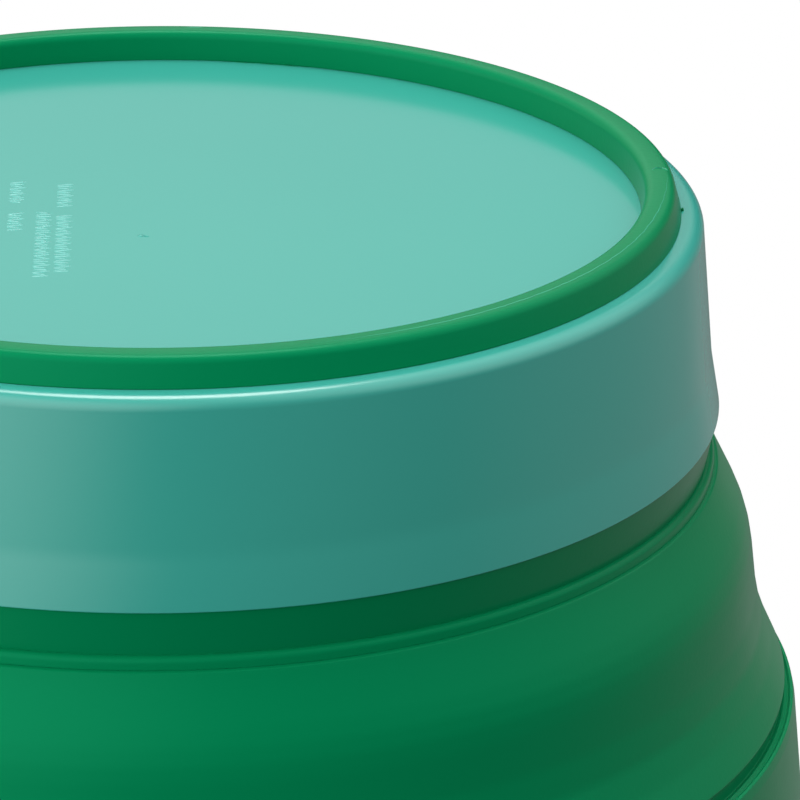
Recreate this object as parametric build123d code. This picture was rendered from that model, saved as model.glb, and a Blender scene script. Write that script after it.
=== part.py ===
"""Collapsible soaking jar, modelled standing on its mouth with its foot ring upwards.

Two hard mouldings, a base cup and a mouth rim, are joined by a soft stepped wall.
The wall has two thin webs that roll inside out, so that the cup and the middle
band push up inside the rim and the jar packs flat. A push-on lid closes the mouth.
Every part is turned about the Z axis. Heights are in millimetres above the lid's face.
"""

import os

from build123d import *

# Overall heights
JAR_HEIGHT = 171.8
STAGE_HEIGHT = 31.0  # from one fold of the wall to the next
FIRST_FOLD_DEPTH = 36.0  # from the foot ring's face to the first fold

# Base cup
PLATE_DEPTH = 3.95  # plate's face below the foot ring's face
PLATE_THICKNESS = 2.6
SHOULDER_DEPTH = 3.7
SHOULDER_RADIUS = 67.9
SHOULDER_ROUNDING = 1.8
BAND_RADIUS = 70.5  # at the cup's lower lip
BAND_FLARE_HEIGHT = 6.5  # last stretch of the band, which flares a little more
BAND_FLARE_RADIUS = 69.55
LIP_DEPTH = 28.8
HARD_WALL = 3.0

# Foot ring
RING_TOP_OUTER = 64.1
RING_TOP_INNER = 60.9
RING_ROOT_OUTER = 65.15
RING_ROOT_INNER = 60.2
RING_ROUNDING = 1.0
RING_GROOVE_INNER = 61.3
RING_GROOVE_OUTER = 64.1
RING_GROOVE_DEPTH = 1.2

# Tongues that the soft collars are moulded over
TONGUE_LENGTH = 4.2
TONGUE_THICKNESS = 1.0
TONGUE_INSET = 1.4  # from the hard wall's outer face
WINDOW_COUNT = 24
WINDOW_WIDTH = 5.0
WINDOW_HEIGHT = 2.0

# Soft wall
WEB_THICKNESS = 1.6
HINGE_GAP = 0.3  # gap left at the moving end of each web
FIRST_VALLEY_RADIUS = 68.9
SECOND_VALLEY_RADIUS = 86.9
WEB_STEP = 2.3  # the wall steps out at once below a valley fold
WEB_STEP_HEIGHT = 1.0
WEB_UPPER_FLARE = 6.0
WEB_UPPER_FLARE_HEIGHT = 9.0
WEB_STRAIGHT = 7.8
WEB_STRAIGHT_HEIGHT = 20.8
WEB_LOWER_FLARE = 12.3
WEB_ROUNDING = 9.0
BAND_THICKNESS = 2.4
MIDDLE_TOP_RADIUS = 81.4
MIDDLE_BEND_RADIUS = 83.3
MIDDLE_BEND_HEIGHT = 17.0
MIDDLE_FOOT_RADIUS = 88.0
COLLAR_TAPER = 1.2  # each collar narrows by this along its strip
COLLAR_BEAD_HEIGHT = 1.4  # last stretch beside the fold

# Mouth rim
RIM_COLLAR_HEIGHT = 8.0
RIM_FOLD_RADIUS = 99.7
RIM_TOP_RADIUS = 101.2
RIM_FOOT_RADIUS = 103.2
RIM_BEAD_RADIUS = 106.0
RIM_BEAD_HEIGHT = 4.0
RIM_BEAD_ROUNDING = 1.5

# Lid and seal
LID_THICKNESS = 3.0
LID_CLEARANCE = 0.4
LID_SKIRT_THICKNESS = 2.2
LID_SKIRT_HEIGHT = 6.8
LID_LIP_WIDTH = 2.4
LID_LIP_HEIGHT = 2.0
LID_RECESS_RADIUS = 84.0
LID_RECESS_DEPTH = 0.8
LID_ROUNDING = 1.2
SEAL_INNER = 101.0
SEAL_OUTER = 103.0
SEAL_PROUD = 0.8
SEAL_SEAT = 1.0

# Heights that follow from the driving ones
plate_face = JAR_HEIGHT - PLATE_DEPTH
shoulder = JAR_HEIGHT - SHOULDER_DEPTH
base_lip = JAR_HEIGHT - LIP_DEPTH
folds = [JAR_HEIGHT - FIRST_FOLD_DEPTH - stage * STAGE_HEIGHT for stage in range(4)]
rim_top = folds[3] - RIM_COLLAR_HEIGHT
lid_inner_face = LID_THICKNESS
rim_foot = lid_inner_face + SEAL_PROUD


def turned(outline):
    """Turn a closed outline of (radius, height) about the Z axis."""
    return revolve(Plane.XZ * make_face(outline), Axis.Z)


def turned_polygon(*corners):
    """Turn a straight-sided outline about the Z axis."""
    return turned(Polyline(*corners, close=True))


def rounded_polygon(corners, rounded, radius):
    """Turn a straight-sided outline, with the corners numbered in rounded filleted."""
    face = make_face(Polyline(*corners, close=True))
    picked = [
        vertex
        for vertex in face.vertices()
        if any((Vector(*corners[index]) - Vector(vertex.X, vertex.Y)).length < 1e-6 for index in rounded)
    ]
    return revolve(Plane.XZ * fillet(picked, radius), Axis.Z)


def windows(radius, height):
    """Blocks, one for each window through a tongue."""
    block = Box(4 * TONGUE_THICKNESS, WINDOW_WIDTH, WINDOW_HEIGHT)
    return [place * block for place in Location((0, 0, height)) * PolarLocations(radius, WINDOW_COUNT)]


def tongue(outer_face, wide_end, direction):
    """A windowed ring in the middle of a hard wall, standing out of its end."""
    outer = outer_face - TONGUE_INSET
    inner = outer - TONGUE_THICKNESS
    tip = wide_end + direction * TONGUE_LENGTH
    ring = turned_polygon((inner, wide_end), (outer, wide_end), (outer, tip), (inner, tip))
    return ring - windows((outer + inner) / 2, (wide_end + tip) / 2)


def base_cup():
    """Hard cup: a plate, a rounded shoulder and a conical band, with a tongue below its lip."""
    flare_start = base_lip + BAND_FLARE_HEIGHT
    inner_lip = BAND_RADIUS - HARD_WALL
    inner_corner = SHOULDER_RADIUS - HARD_WALL
    plate_back = plate_face - PLATE_THICKNESS
    outside = rounded_polygon(
        [
            (0, base_lip),
            (BAND_RADIUS, base_lip),
            (BAND_FLARE_RADIUS, flare_start),
            (SHOULDER_RADIUS, shoulder),
            (0, shoulder),
        ],
        [3],
        SHOULDER_ROUNDING,
    )
    inside = rounded_polygon(
        [(0, base_lip), (inner_lip, base_lip), (inner_corner, plate_back), (0, plate_back)],
        [2],
        2 * SHOULDER_ROUNDING,
    )
    plate_recess = turned_polygon(
        (0, plate_face), (RING_GROOVE_INNER, plate_face), (RING_GROOVE_INNER, shoulder), (0, shoulder)
    )
    return outside - inside - plate_recess - ring_root() + tongue(BAND_RADIUS, base_lip, -1)


def ring_root():
    """The foot ring's root, which fills a groove in the shoulder."""
    floor = shoulder - RING_GROOVE_DEPTH
    return turned_polygon(
        (RING_GROOVE_INNER, floor),
        (RING_GROOVE_OUTER, floor),
        (RING_GROOVE_OUTER, shoulder),
        (RING_GROOVE_INNER, shoulder),
    )


def foot_ring():
    """Soft non-slip ring that the jar stands on when it is in use."""
    ring = rounded_polygon(
        [
            (RING_ROOT_INNER, plate_face),
            (RING_GROOVE_INNER, plate_face),
            (RING_GROOVE_INNER, shoulder),
            (RING_ROOT_OUTER, shoulder),
            (RING_TOP_OUTER, JAR_HEIGHT),
            (RING_TOP_INNER, JAR_HEIGHT),
        ],
        [4, 5],
        RING_ROUNDING,
    )
    return ring + ring_root()


def collar(lip_radius, lip_height, fold_radius, fold_height):
    """Soft strip moulded round a tongue, from a hard lip to the fold beside it."""
    direction = 1 if fold_height > lip_height else -1
    strip = turned_polygon(
        (lip_radius, lip_height),
        (lip_radius - COLLAR_TAPER, fold_height - direction * COLLAR_BEAD_HEIGHT),
        (fold_radius, fold_height),
        (fold_radius - WEB_THICKNESS, fold_height),
        (lip_radius - HARD_WALL, lip_height),
    )
    return strip - tongue(lip_radius, lip_height, direction)


def fold_web(valley_radius, valley_height):
    """Thin S-shaped web that rolls inside out, from a valley fold to the mountain fold below."""
    steps = [
        (0, 0),
        (WEB_STEP, WEB_STEP_HEIGHT),
        (WEB_UPPER_FLARE, WEB_UPPER_FLARE_HEIGHT),
        (WEB_STRAIGHT, WEB_STRAIGHT_HEIGHT),
        (WEB_LOWER_FLARE, STAGE_HEIGHT - HINGE_GAP),
    ]
    outer = [(valley_radius + out, valley_height - down) for out, down in steps]
    inner = [(radius - WEB_THICKNESS, height) for radius, height in outer]
    roundings = [0.5, WEB_ROUNDING, WEB_ROUNDING]
    outline = Curve() + [
        FilletPolyline(*outer, radius=roundings),
        Line(outer[-1], inner[-1]),
        FilletPolyline(*inner, radius=roundings),
        Line(inner[0], outer[0]),
    ]
    return turned(outline)


def middle_band():
    """Thicker soft band that keeps its shape between the two webs."""
    top = folds[1]
    foot = folds[2]
    bend = top - MIDDLE_BEND_HEIGHT
    outer = [(MIDDLE_TOP_RADIUS, top), (MIDDLE_BEND_RADIUS, bend), (MIDDLE_FOOT_RADIUS, foot)]
    inner = [(radius - BAND_THICKNESS, height) for radius, height in outer]
    outline = Curve() + [
        FilletPolyline(*outer, radius=2 * WEB_ROUNDING),
        Line(outer[-1], inner[-1]),
        FilletPolyline(*inner, radius=2 * WEB_ROUNDING),
        Line(inner[0], outer[0]),
    ]
    return turned(outline)


def mouth_rim():
    """Hard band round the mouth, with a bead at its edge and a tongue at its other end."""
    inner_top = RIM_TOP_RADIUS - HARD_WALL
    inner_foot = RIM_FOOT_RADIUS - HARD_WALL
    bead_top = rim_foot + RIM_BEAD_HEIGHT
    band = rounded_polygon(
        [
            (inner_top, rim_top),
            (RIM_TOP_RADIUS, rim_top),
            (RIM_FOOT_RADIUS, bead_top),
            (RIM_BEAD_RADIUS, bead_top),
            (RIM_BEAD_RADIUS, rim_foot),
            (inner_foot, rim_foot),
        ],
        [3, 4],
        RIM_BEAD_ROUNDING,
    )
    return band + tongue(RIM_TOP_RADIUS, rim_top, 1)


def lid_seal():
    """Soft ring seated in the lid, pressed by the rim's edge."""
    floor = lid_inner_face - SEAL_SEAT
    return turned_polygon(
        (SEAL_INNER, floor), (SEAL_OUTER, floor), (SEAL_OUTER, rim_foot), (SEAL_INNER, rim_foot)
    )


def lid():
    """Push-on lid: a flat plate with a skirt round the rim's bead and a lip to pull it off by."""
    inner = RIM_BEAD_RADIUS + LID_CLEARANCE
    outer = inner + LID_SKIRT_THICKNESS
    skirt_top = lid_inner_face + LID_SKIRT_HEIGHT
    lip_foot = skirt_top - LID_LIP_HEIGHT
    plate = rounded_polygon(
        [
            (0, LID_RECESS_DEPTH),
            (LID_RECESS_RADIUS, LID_RECESS_DEPTH),
            (LID_RECESS_RADIUS, 0),
            (outer, 0),
            (outer, lip_foot),
            (outer + LID_LIP_WIDTH, lip_foot),
            (outer + LID_LIP_WIDTH, skirt_top),
            (inner, skirt_top),
            (inner, lid_inner_face),
            (0, lid_inner_face),
        ],
        [3],
        LID_ROUNDING,
    )
    return plate - lid_seal()


parts = {
    "base_cup": base_cup(),
    "foot_ring": foot_ring(),
    "upper_collar": collar(BAND_RADIUS, base_lip, FIRST_VALLEY_RADIUS, folds[0]),
    "upper_fold_web": fold_web(FIRST_VALLEY_RADIUS, folds[0]),
    "middle_band": middle_band(),
    "lower_fold_web": fold_web(SECOND_VALLEY_RADIUS, folds[2]),
    "rim_collar": collar(RIM_TOP_RADIUS, rim_top, RIM_FOLD_RADIUS, folds[3]),
    "mouth_rim": mouth_rim(),
    "lid": lid(),
    "lid_seal": lid_seal(),
}

os.makedirs("parts", exist_ok=True)
for name, shape in parts.items():
    export_step(shape, f"parts/{name}.step")
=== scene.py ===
"""Looks of the collapsible soaking jar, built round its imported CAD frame.

The jar stands bottom up on its lid. Sizes are in millimetres and turn into metres where a
mesh is made. Depths are measured down from the foot ring's face.
"""

import math

import bmesh
import bpy
from mathutils import Matrix, Vector


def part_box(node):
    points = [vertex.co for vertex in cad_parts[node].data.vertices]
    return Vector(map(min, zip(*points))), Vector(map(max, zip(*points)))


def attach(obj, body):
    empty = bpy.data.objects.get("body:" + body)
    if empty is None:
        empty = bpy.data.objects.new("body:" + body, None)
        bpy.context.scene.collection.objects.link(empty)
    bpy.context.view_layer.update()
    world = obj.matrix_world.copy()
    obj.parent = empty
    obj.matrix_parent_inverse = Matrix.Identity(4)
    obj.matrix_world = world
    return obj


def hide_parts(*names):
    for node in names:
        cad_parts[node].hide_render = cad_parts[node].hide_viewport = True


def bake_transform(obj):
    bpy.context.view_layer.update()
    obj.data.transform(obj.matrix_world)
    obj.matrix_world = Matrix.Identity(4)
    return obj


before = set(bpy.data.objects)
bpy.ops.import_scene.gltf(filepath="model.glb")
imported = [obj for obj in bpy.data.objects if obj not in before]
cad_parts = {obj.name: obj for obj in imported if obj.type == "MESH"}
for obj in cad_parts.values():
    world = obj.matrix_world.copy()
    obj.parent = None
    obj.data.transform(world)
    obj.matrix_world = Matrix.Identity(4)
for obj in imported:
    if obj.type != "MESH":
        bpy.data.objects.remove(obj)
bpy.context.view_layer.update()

MM = 0.001
SEGMENTS = 384  # facets round each turned piece
ARC_STEP = math.radians(9)
SMOOTH_UNDER = math.radians(38)

# Places taken from the frame
ring_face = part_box("foot_ring")[1].z
stage_height = (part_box("middle_band")[1].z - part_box("middle_band")[0].z) / MM
first_fold = (ring_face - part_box("upper_fold_web")[1].z) / MM
band_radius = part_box("base_cup")[1].x / MM
lip_depth = (ring_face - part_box("upper_collar")[1].z) / MM
rim_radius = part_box("rim_collar")[1].x / MM
rim_collar_depth = (ring_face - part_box("rim_collar")[0].z) / MM
bead_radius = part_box("mouth_rim")[1].x / MM

# Base cup
PLATE_DEPTH = 3.95
PLATE_THICKNESS = 2.6
SHOULDER_DEPTH = 3.7
HARD_WALL = 3.0
GROOVE_INNER = 61.3  # the groove in the shoulder that holds the foot ring's root
GROOVE_OUTER = 64.1
GROOVE_DEPTH = 4.8

# Foot ring
RING_SHELF = 1.2  # the ring's crown lies above this depth
RING_OUTLINE = [  # (radius, depth, rounding)
    (GROOVE_INNER, PLATE_DEPTH, 0),
    (GROOVE_INNER, GROOVE_DEPTH, 0),
    (GROOVE_OUTER, GROOVE_DEPTH, 0),
    (GROOVE_OUTER, SHOULDER_DEPTH, 0),
    (65.2, SHOULDER_DEPTH, 0.1),
    (64.2, 0.15, 1.2),
    (62.6, 0, 8.0),
    (60.6, 0.03, 1.2),
    (60.2, PLATE_DEPTH, 0.1),
]

# Tongues that the soft collars are moulded over
TONGUE_LENGTH = 4.2
TONGUE_INSET = 1.4  # from the hard wall's outer face
TONGUE_THICKNESS = 1.0

# Soft wall
UPPER_VALLEY_RADIUS = 68.95
LOWER_VALLEY_RADIUS = 86.95
WEB_LENGTH = 30.6
WEB_STEP = 0.7  # longest straight stretch of a web's outline, so that it can roll

# Mouth rim, lid and seal
RIM_FOOT_HEIGHT = 3.8
BEAD_HEIGHT = 4.0
LID_HEIGHT = 9.8
LID_THICKNESS = 3.0
LID_CLEARANCE = 0.4
LID_SKIRT_THICKNESS = 2.2
LID_LIP = 2.4
LID_LIP_HEIGHT = 2.0
LID_RECESS_RADIUS = 84.0
LID_RECESS_DEPTH = 0.8
SEAL_INNER = 101.0
SEAL_OUTER = 103.0
SEAL_SEAT = 1.0

# Traces of moulding on the ring and the plate
WITNESS_RADIUS = 62.8
WITNESS_DRIFT = 0.9  # how far further out the line starts
WITNESS_START = 1.0
WITNESS_SETTLED = -20.0
WITNESS_END = -75.0
WITNESS_WIDTH = 0.2
MARK_PITCH = 0.75
MARK_COLUMNS = [  # (x, first y, last y)
    (-17.9, 9.0, 0.5),
    (-17.9, -3.0, -9.4),
    (-14.4, -2.7, -26.6),
    (-11.9, 8.0, -1.0),
    (-11.9, -4.0, -24.8),
]

# Camera and light
CAMERA_DISTANCE = 0.6116
CAMERA_ELEVATION = 18.62
CAMERA_PITCH = 21.262
CAMERA_YAW = 2.999
CAMERA_ROLL = 0.575
CAMERA_LENS = 220.2
WALL_LIGHTS = [  # azimuth from the front towards +X, elevation, softness edge and middle, level
    (-172, 33, 0.82, 1.0, 0.4),
    (-45, 25, 0.55, 1.0, 2.30),
    (-90, 25, 0.55, 1.0, 0.41),
    (-135, 25, 0.55, 1.0, 0.41),
    (90, 50, 0.55, 1.0, 1.36),
    (180, 60, 0.55, 1.0, 0.41),
    (45, 25, 0.55, 1.0, 0.15),
    (110, -25, 0.55, 1.0, 0.40),
    (165, -22, 0.88, 1.0, 0.2),
    (-90, -25, 0.55, 1.0, 1.40),
    (180, 74, 0.95, 0.99, 8.4),
]
FLOOR_FADE = (0.16, 0.23)


def rounded_outline(corners, step=None):
    """Points of a closed outline whose (radius, depth, rounding) corners are rounded by arcs.

    Straight runs are divided into stretches no longer than step, if it is given.
    """
    points = []
    for index, (radius, depth, rounding) in enumerate(corners):
        corner = Vector((radius, depth))
        if not rounding:
            points.append(corner)
            continue
        before = (Vector(corners[index - 1][:2]) - corner).normalized()
        after = (Vector(corners[(index + 1) % len(corners)][:2]) - corner).normalized()
        half = before.angle(after) / 2
        centre = corner + (before + after).normalized() * rounding / math.sin(half)
        start = corner + before * rounding / math.tan(half) - centre
        end = corner + after * rounding / math.tan(half) - centre
        sweep = math.atan2(start.x * end.y - start.y * end.x, start.dot(end))
        count = max(2, math.ceil(abs(sweep) / ARC_STEP))
        for turn in range(count + 1):
            points.append(centre + Matrix.Rotation(sweep * turn / count, 2) @ start)
    if step is None:
        return points
    divided = []
    for index, point in enumerate(points):
        following = points[(index + 1) % len(points)]
        count = max(1, math.ceil((following - point).length / step))
        divided += [point.lerp(following, part / count) for part in range(count)]
    return divided


def new_piece(name, vertices, faces, material):
    """A smooth-shaded mesh object, with its hard edges kept sharp."""
    mesh = bpy.data.meshes.new(name)
    mesh.from_pydata(vertices, [], faces)
    tidy = bmesh.new()
    tidy.from_mesh(mesh)
    bmesh.ops.remove_doubles(tidy, verts=tidy.verts, dist=1e-7)
    bmesh.ops.recalc_face_normals(tidy, faces=tidy.faces)
    tidy.to_mesh(mesh)
    tidy.free()
    mesh.polygons.foreach_set("use_smooth", [True] * len(mesh.polygons))
    mesh.set_sharp_from_angle(angle=SMOOTH_UNDER)
    mesh.materials.append(material)
    piece = bpy.data.objects.new(name, mesh)
    bpy.context.scene.collection.objects.link(piece)
    return piece


def turned_piece(name, corners, material, step=None):
    """A closed outline of (radius, depth, rounding) corners, turned about the jar's axis."""
    outline = rounded_outline(corners, step)
    vertices = []
    for radius, depth in outline:
        for facet in range(SEGMENTS):
            angle = math.tau * facet / SEGMENTS
            vertices.append(
                (radius * MM * math.cos(angle), radius * MM * math.sin(angle), ring_face - depth * MM)
            )
    faces = []
    for row in range(len(outline)):
        following = (row + 1) % len(outline)
        if outline[row].x < 1e-6 and outline[following].x < 1e-6:
            continue
        for facet in range(SEGMENTS):
            beside = (facet + 1) % SEGMENTS
            faces.append(
                (
                    row * SEGMENTS + facet,
                    row * SEGMENTS + beside,
                    following * SEGMENTS + beside,
                    following * SEGMENTS + facet,
                )
            )
    return new_piece(name, vertices, faces, material)


def settle(piece, body, node):
    """Let a piece move with its body, in place of the CAD node that it dresses."""
    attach(piece, body)
    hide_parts(node)


# Materials


def moulded_material(name, dark, light, roughness, grain, **sockets):
    """Moulded plastic: slow colour drift, uneven gloss and a fine skin texture."""
    material = bpy.data.materials.new(name)
    material.use_nodes = True
    nodes = material.node_tree.nodes
    link = material.node_tree.links.new
    shader = nodes["Principled BSDF"]
    for socket, value in sockets.items():
        shader.inputs[socket.replace("_", " ")].default_value = value
    place = nodes.new("ShaderNodeTexCoord")

    drift = nodes.new("ShaderNodeTexNoise")
    drift.inputs["Scale"].default_value = 14
    drift.inputs["Detail"].default_value = 3
    link(place.outputs["Object"], drift.inputs["Vector"])
    tint = nodes.new("ShaderNodeMix")
    tint.data_type = "RGBA"
    tint.inputs[6].default_value = (*dark, 1)
    tint.inputs[7].default_value = (*light, 1)
    link(drift.outputs["Fac"], tint.inputs["Factor"])
    link(tint.outputs[2], shader.inputs["Base Color"])

    gloss = nodes.new("ShaderNodeTexNoise")
    gloss.inputs["Scale"].default_value = 60
    gloss.inputs["Detail"].default_value = 4
    link(place.outputs["Object"], gloss.inputs["Vector"])
    spread = nodes.new("ShaderNodeMapRange")
    spread.inputs["To Min"].default_value = roughness * 0.85
    spread.inputs["To Max"].default_value = roughness * 1.15
    link(gloss.outputs["Fac"], spread.inputs["Value"])
    link(spread.outputs["Result"], shader.inputs["Roughness"])

    skin = nodes.new("ShaderNodeTexNoise")
    skin.inputs["Scale"].default_value = 1600
    skin.inputs["Detail"].default_value = 2
    link(place.outputs["Object"], skin.inputs["Vector"])
    bump = nodes.new("ShaderNodeBump")
    bump.inputs["Strength"].default_value = grain
    bump.inputs["Distance"].default_value = 0.00005
    link(skin.outputs["Fac"], bump.inputs["Height"])
    link(bump.outputs["Normal"], shader.inputs["Normal"])
    return material


mint = moulded_material(
    "mint_plastic",
    (0.036, 0.315, 0.258),
    (0.042, 0.340, 0.280),
    0.17,
    0.10,
    Specular_IOR_Level=0.6,
)
green = moulded_material(
    "green_soft",
    (0.0003, 0.183, 0.065),
    (0.0003, 0.196, 0.070),
    0.30,
    0.25,
    Specular_Tint=(0.15, 1.0, 0.65, 1),
    Specular_IOR_Level=0.14,
)

# Lighter green for the moulding traces; on the witness line it is partly a painted highlight, the glint
# along the ring's outer top edge.
scar_and_glint = moulded_material("green_scar_and_glint", (0.02, 0.30, 0.18), (0.04, 0.36, 0.22), 0.35, 0.4)
pale_mint = moulded_material("mint_mark", (0.10, 0.41, 0.365), (0.12, 0.44, 0.39), 0.3, 0.2)


# Pieces


def base_cup():
    """Hard cup: plate, shoulder and band, the groove for the ring's root and the hidden tongue."""
    plate_back = PLATE_DEPTH + PLATE_THICKNESS
    tongue = band_radius - TONGUE_INSET
    corners = [
        (0, PLATE_DEPTH, 0),
        (GROOVE_INNER, PLATE_DEPTH, 0),
        (GROOVE_INNER, GROOVE_DEPTH, 0),
        (GROOVE_OUTER, GROOVE_DEPTH, 0),
        (GROOVE_OUTER, SHOULDER_DEPTH, 0),
        (67.9, SHOULDER_DEPTH, 1.8),
        (69.55, lip_depth - 6.5, 20.0),
        (band_radius + 0.2, lip_depth, 0.15),
        (tongue, lip_depth, 0),
        (tongue, lip_depth + TONGUE_LENGTH, 0),
        (tongue - TONGUE_THICKNESS, lip_depth + TONGUE_LENGTH, 0),
        (tongue - TONGUE_THICKNESS, lip_depth, 0),
        (band_radius - HARD_WALL, lip_depth, 0.2),
        (64.9, plate_back, 3.4),
        (0, plate_back, 0),
    ]
    cup = turned_piece("base_cup_skin", corners, mint)
    settle(cup, "base", "base_cup")


def foot_ring():
    """Soft ring with a low dome, held by its root in the shoulder's groove."""
    ring = turned_piece("foot_ring_skin", RING_OUTLINE, green)
    settle(ring, "base", "foot_ring")


def upper_collar():
    corners = [
        (band_radius - 0.05, lip_depth, 0),
        (69.35, first_fold - 1.5, 0),
        (70.2, first_fold - 1.45, 0.8),
        (70.3, first_fold, 0),
        (67.9, first_fold, 0),
        (67.5, lip_depth, 0),
    ]
    collar = turned_piece("upper_collar_skin", corners, green)
    settle(collar, "base", "upper_collar")


def fold_web(name, node, valley_radius, valley_depth):
    """Thin web from a valley fold to the next ridge: edge, flare, straight, flare and undercut."""
    section = [  # steps (out, down, rounding) from the valley fold, down the outside and back up the inside
        (1.15, 0, 0),
        (1.8, 0.15, 0.4),
        (6.2, 8.9, 18.0),
        (7.7, 21.4, 26.0),
        (11.4, 29.4, 0.3),
        (10.85, 29.75, 0.12),
        (10.85, WEB_LENGTH, 0),
        (9.2, WEB_LENGTH, 0),
        (6.1, 21.8, 8.0),
        (4.6, 9.4, 13.0),
        (0.6, 1.9, 1.0),
        (-1.05, 0, 0),
    ]
    corners = [(valley_radius + out, valley_depth + down, rounding) for out, down, rounding in section]
    web = turned_piece(name, corners, green, step=WEB_STEP)
    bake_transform(web)
    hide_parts(node)


def ridge_groove(valley_radius, ridge_depth):
    """Groove with a fine rib in it, where a soft strip starts below the web above it."""
    steps = [
        (10.85, WEB_LENGTH - stage_height, 0),
        (10.85, 0.7, 0.1),
        (11.4, 0.5, 0.1),
        (11.8, 0.9, 0.1),
        (12.15, 0.5, 0.1),
        (12.5, 0.6, 0.2),
    ]
    return [(valley_radius + out, ridge_depth + down, rounding) for out, down, rounding in steps]


def middle_band():
    top = first_fold + stage_height
    foot = top + stage_height
    corners = ridge_groove(UPPER_VALLEY_RADIUS, top) + [
        (81.75, top + 1.9, 1.5),
        (83.25, top + 16.5, 10.0),
        (87.3, top + 27.5, 2.0),
        (87.9, foot - 1.9, 0.2),
        (87.35, foot - 1.5, 0),
        (88.2, foot - 1.45, 0.8),
        (88.3, foot, 0),
        (85.85, foot, 0),
        (85.6, foot - 1.5, 1.0),
        (81.0, top + 17.3, 10.0),
        (78.1, top - 0.4, 0),
    ]
    band = turned_piece("middle_band_skin", corners, green)
    settle(band, "middle", "middle_band")


def rim_collar():
    fold = first_fold + 3 * stage_height
    corners = ridge_groove(LOWER_VALLEY_RADIUS, fold) + [
        (99.85, fold + 1.9, 1.0),
        (rim_radius - 0.05, rim_collar_depth, 0),
        (98.2, rim_collar_depth, 0),
        (98.1, fold + 1.0, 0.5),
        (96.1, fold - 0.4, 0),
    ]
    collar = turned_piece("rim_collar_skin", corners, green)
    settle(collar, "rim", "rim_collar")


def mouth_rim():
    """Hard band round the mouth, with a bead at its edge and the hidden tongue above it."""
    foot = ring_face / MM - RIM_FOOT_HEIGHT
    bead = foot - BEAD_HEIGHT
    tongue = rim_radius - TONGUE_INSET
    corners = [
        (rim_radius - HARD_WALL, rim_collar_depth, 0.2),
        (tongue - TONGUE_THICKNESS, rim_collar_depth, 0),
        (tongue - TONGUE_THICKNESS, rim_collar_depth - TONGUE_LENGTH, 0),
        (tongue, rim_collar_depth - TONGUE_LENGTH, 0),
        (tongue, rim_collar_depth, 0),
        (rim_radius, rim_collar_depth, 0.2),
        (rim_radius + 2.0, bead, 0.3),
        (bead_radius, bead, 1.5),
        (bead_radius, foot, 1.5),
        (rim_radius - 1.0, foot, 0.5),
    ]
    rim = turned_piece("mouth_rim_skin", corners, mint)
    settle(rim, "rim", "mouth_rim")


def lid():
    """Push-on lid: a plate with a shallow recess below, a skirt round the bead and a lip to pull."""
    face = ring_face / MM
    inside = face - LID_THICKNESS
    top = face - LID_HEIGHT
    skirt = bead_radius + LID_CLEARANCE
    wall = skirt + LID_SKIRT_THICKNESS
    corners = [
        (0, face - LID_RECESS_DEPTH, 0),
        (LID_RECESS_RADIUS, face - LID_RECESS_DEPTH, 0.3),
        (LID_RECESS_RADIUS, face, 0.3),
        (wall, face, 1.2),
        (wall, top + LID_LIP_HEIGHT, 0.3),
        (wall + LID_LIP, top + LID_LIP_HEIGHT, 0.5),
        (wall + LID_LIP, top, 0.5),
        (skirt, top, 0.4),
        (skirt, inside, 0.2),
        (SEAL_OUTER, inside, 0),
        (SEAL_OUTER, inside + SEAL_SEAT, 0),
        (SEAL_INNER, inside + SEAL_SEAT, 0),
        (SEAL_INNER, inside, 0),
        (0, inside, 0),
    ]
    cover = turned_piece("lid_skin", corners, mint)
    settle(cover, "cover", "lid")


def dress_seal():
    """The seal keeps its CAD shape and takes the moulded material."""
    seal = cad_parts["lid_seal"]
    seal.data.materials.clear()
    seal.data.materials.append(green)


def ring_depth(radius):
    """Depth of the foot ring's top at a radius."""
    crown = [point for point in rounded_outline(RING_OUTLINE) if point.y < RING_SHELF]
    for outer, inner in zip(crown, crown[1:]):
        if inner.x <= radius <= outer.x:
            return inner.y + (outer.y - inner.y) * (radius - inner.x) / (outer.x - inner.x)
    return RING_SHELF


def spot(radius, angle, depth):
    """A point in the row frame from a radius in mm, an angle in degrees and a depth in mm."""
    turn = math.radians(angle)
    return (radius * MM * math.cos(turn), radius * MM * math.sin(turn), ring_face - depth * MM)


def ridge(name, path, width, height, material, on_ring=True):
    """A fine raised line along a path of (radius, angle), fading out at both ends."""
    vertices = []
    last = len(path) - 1
    for index, (radius, angle) in enumerate(path):
        fade = min(1, 4 * min(index, last - index) / last + 0.15)
        for side in (-1, 0, 1):
            edge = radius + side * width * fade / 2
            depth = ring_depth(edge) if on_ring else PLATE_DEPTH
            lift = height * fade if side == 0 else -0.03
            vertices.append(spot(edge, angle, depth - lift))
    faces = []
    for index in range(last):
        for side in range(2):
            corner = 3 * index + side
            faces.append((corner, corner + 1, corner + 4, corner + 3))
    line = new_piece(name, vertices, faces, material)
    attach(line, "base")


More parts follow.
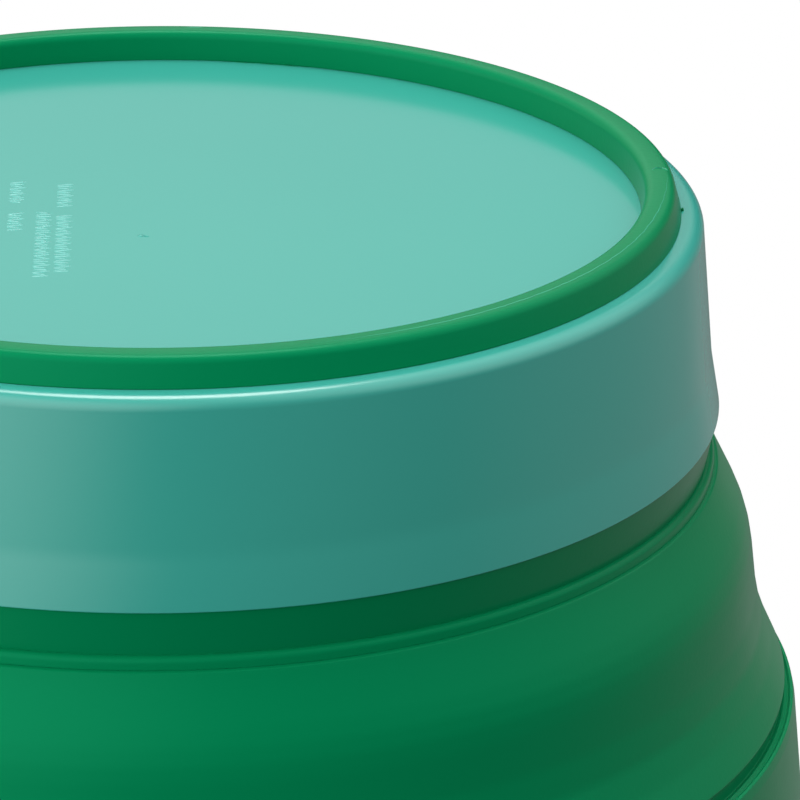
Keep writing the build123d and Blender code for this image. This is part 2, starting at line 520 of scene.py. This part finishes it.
def moulding_traces():
    """Witness line, gate scars and a curl of flash left on the foot ring by its mould, and a thread of
    flash on the plate.
    """
    line = []
    for step in range(181):
        angle = WITNESS_START + (WITNESS_END - WITNESS_START) * step / 180
        settled = min(1, (WITNESS_START - angle) / (WITNESS_START - WITNESS_SETTLED))
        drift = WITNESS_DRIFT * (1 - settled) ** 2
        wander = 0.03 * math.sin(angle * 1.7) + 0.02 * math.sin(angle * 4.3)
        line.append((WITNESS_RADIUS + drift + wander, angle))
    # The witness line is a real parting-line ridge, and its lighter colour is partly a painted highlight
    # along the ring's outer top edge.
    ridge("witness_line", line, WITNESS_WIDTH, 0.05, scar_and_glint)
    curl = []
    for step in range(25):
        turn = math.pi * (1.15 * step / 24 - 0.1)
        curl.append((62.75 - 0.95 * math.cos(turn), 0.35 + 0.55 * math.sin(turn)))
    ridge("flash_curl", curl, 0.22, 0.12, scar_and_glint)
    gate = [(61.05 - 0.25 * math.sin(math.pi * step / 20), -96.1 + 0.1 * step) for step in range(21)]
    ridge("gate_scar", gate, 0.45, 0.06, scar_and_glint)
    patch = [(63.0, 84.4 + 0.1 * step) for step in range(21)]
    ridge("gate_patch", patch, 0.6, 0.04, scar_and_glint)
    flash = []
    for step in range(61):
        angle = 70 + 12 * step / 60
        flash.append((60.1 - 0.1 * math.sin(angle * 2.1) - 0.08 * math.sin(angle * 5.7), angle))
    ridge("plate_flash", flash, 0.5, 0.05, green, on_ring=False)


def low_domes(name, domes, height, depth, material):
    """Low domes on the base, each given as (x, y, half length, half width, slant)."""
    rings = [(1.0, -0.02), (0.92, 0.45), (0.7, 0.85), (0.35, 1.0)]
    round_steps = 16
    vertices = []
    faces = []
    for x, y, half_length, half_width, slant in domes:
        first = len(vertices)
        for size, lift in rings:
            for step in range(round_steps):
                turn = math.tau * step / round_steps
                along = size * half_length * math.cos(turn)
                across = size * half_width * math.sin(turn)
                px = x + across * math.cos(slant) - along * math.sin(slant)
                py = y + along * math.cos(slant) + across * math.sin(slant)
                vertices.append((px * MM, py * MM, ring_face - (depth - lift * height) * MM))
        for row in range(len(rings) - 1):
            for step in range(round_steps):
                beside = (step + 1) % round_steps
                low = first + row * round_steps
                high = low + round_steps
                faces.append((low + step, low + beside, high + beside, high + step))
        faces.append(tuple(first + (len(rings) - 1) * round_steps + step for step in range(round_steps)))
    marks = new_piece(name, vertices, faces, material)
    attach(marks, "base")


def plate_marks():
    """Rows of plain raised dashes on the plate, and the stub of the gate it was filled through."""
    dashes = []
    for x, start, end in MARK_COLUMNS:
        count = round((start - end) / MARK_PITCH)
        for step in range(count):
            y = start - (step + 0.5) * MARK_PITCH
            wave = math.sin(2.3 * step + x)
            dashes.append((x + 0.15 * wave, y, 0.3 * MARK_PITCH, 0.95 + 0.2 * wave, 0.3 * wave))
    low_domes("plate_marks", dashes, 0.05, PLATE_DEPTH, pale_mint)
    stub = [(-2.3, -12.0, 0.35, 0.4, 0), (-1.7, -12.1, 0.1, 0.45, -0.5)]
    low_domes("plate_gate", stub, 0.12, PLATE_DEPTH, mint)
    low_domes("ring_nub", [(65.15, -4.8, 0.24, 0.18, 0)], 0.4, SHOULDER_DEPTH, green)


def camera():
    elevation = math.radians(CAMERA_ELEVATION)
    pitch = math.radians(CAMERA_PITCH)
    yaw = math.radians(CAMERA_YAW)
    roll = math.radians(CAMERA_ROLL)
    forward = Vector(
        (math.sin(yaw) * math.cos(pitch), math.cos(yaw) * math.cos(pitch), -math.sin(pitch))
    )
    level = Vector((math.cos(yaw), -math.sin(yaw), 0))
    lift = level.cross(forward)
    right = level * math.cos(roll) + lift * math.sin(roll)
    up = lift * math.cos(roll) - level * math.sin(roll)
    data = bpy.data.cameras.new("camera")
    data.lens = CAMERA_LENS
    data.clip_start = 0.01
    data.clip_end = 20
    shot = bpy.data.objects.new("camera", data)
    place = Vector(
        (0, -CAMERA_DISTANCE * math.cos(elevation), ring_face + CAMERA_DISTANCE * math.sin(elevation))
    )
    turn = Matrix((right, up, -forward)).transposed().to_4x4()
    shot.matrix_world = Matrix.Translation(place) @ turn
    bpy.context.scene.collection.objects.link(shot)
    bpy.context.scene.camera = shot


def studio_walls():
    """Soft light from walls and panels all round the jar; the background itself is white."""
    world = bpy.data.worlds.new("studio")
    world.use_nodes = True
    nodes = world.node_tree.nodes
    link = world.node_tree.links.new
    direction = nodes.new("ShaderNodeTexCoord").outputs["Generated"]
    total = None
    for azimuth, elevation, edge, middle, level in WALL_LIGHTS:
        turn = math.radians(azimuth)
        rise = math.radians(elevation)
        along = nodes.new("ShaderNodeVectorMath")
        along.operation = "DOT_PRODUCT"
        along.inputs[1].default_value = (
            math.sin(turn) * math.cos(rise),
            -math.cos(turn) * math.cos(rise),
            math.sin(rise),
        )
        link(direction, along.inputs[0])
        panel = nodes.new("ShaderNodeMapRange")
        panel.interpolation_type = "SMOOTHSTEP"
        panel.inputs["From Min"].default_value = edge
        panel.inputs["From Max"].default_value = middle
        panel.inputs["To Max"].default_value = level
        link(along.outputs["Value"], panel.inputs["Value"])
        add = nodes.new("ShaderNodeMath")
        add.inputs[0].default_value = 0
        if total is not None:
            link(total, add.inputs[0])
        link(panel.outputs["Result"], add.inputs[1])
        total = add.outputs["Value"]
    seen = nodes.new("ShaderNodeMix")
    link(nodes.new("ShaderNodeLightPath").outputs["Is Camera Ray"], seen.inputs["Factor"])
    link(total, seen.inputs["A"])
    seen.inputs["B"].default_value = 1.0
    link(seen.outputs["Result"], nodes["Background"].inputs["Strength"])
    nodes["Background"].inputs["Color"].default_value = (1, 1, 1, 1)
    bpy.context.scene.world = world


def stage():
    """A pale floor that keeps the jar's soft shadow and runs out into a white background."""
    mesh = bpy.data.meshes.new("floor")
    reach = 6
    low = -0.2 * MM
    mesh.from_pydata(
        [(-reach, -reach, low), (reach, -reach, low), (reach, reach, low), (-reach, reach, low)],
        [],
        [(0, 1, 2, 3)],
    )
    paper = bpy.data.materials.new("floor_paper")
    paper.use_nodes = True
    nodes = paper.node_tree.nodes
    link = paper.node_tree.links.new
    shader = nodes["Principled BSDF"]
    shader.inputs["Base Color"].default_value = (0.7, 0.7, 0.7, 1)
    shader.inputs["Roughness"].default_value = 0.9
    shader.inputs["Specular IOR Level"].default_value = 0.1
    away = nodes.new("ShaderNodeVectorMath")
    away.operation = "LENGTH"
    link(nodes.new("ShaderNodeTexCoord").outputs["Object"], away.inputs[0])
    fade = nodes.new("ShaderNodeMapRange")
    fade.interpolation_type = "SMOOTHSTEP"
    fade.inputs["From Min"].default_value = FLOOR_FADE[0]
    fade.inputs["From Max"].default_value = FLOOR_FADE[1]
    link(away.outputs["Value"], fade.inputs["Value"])
    seen = nodes.new("ShaderNodeMath")
    seen.operation = "MULTIPLY"
    link(fade.outputs["Result"], seen.inputs[0])
    link(nodes.new("ShaderNodeLightPath").outputs["Is Camera Ray"], seen.inputs[1])
    white = nodes.new("ShaderNodeEmission")
    mix = nodes.new("ShaderNodeMixShader")
    link(seen.outputs["Value"], mix.inputs["Fac"])
    link(shader.outputs["BSDF"], mix.inputs[1])
    link(white.outputs["Emission"], mix.inputs[2])
    link(mix.outputs["Shader"], nodes["Material Output"].inputs["Surface"])
    mesh.materials.append(paper)
    floor = bpy.data.objects.new("floor", mesh)
    bpy.context.scene.collection.objects.link(floor)
    floor.visible_diffuse = False
    floor.visible_glossy = False
    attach(floor, "cover")
    bpy.context.scene.view_settings.view_transform = "Standard"


camera()
base_cup()
foot_ring()
upper_collar()
fold_web(
    "upper_web_skin", "upper_fold_web", UPPER_VALLEY_RADIUS, first_fold
)
middle_band()
lower_valley = first_fold + 2 * stage_height
fold_web(
    "lower_web_skin", "lower_fold_web", LOWER_VALLEY_RADIUS, lower_valley
)
rim_collar()
mouth_rim()
lid()
dress_seal()
moulding_traces()
plate_marks()
stage()
studio_walls()
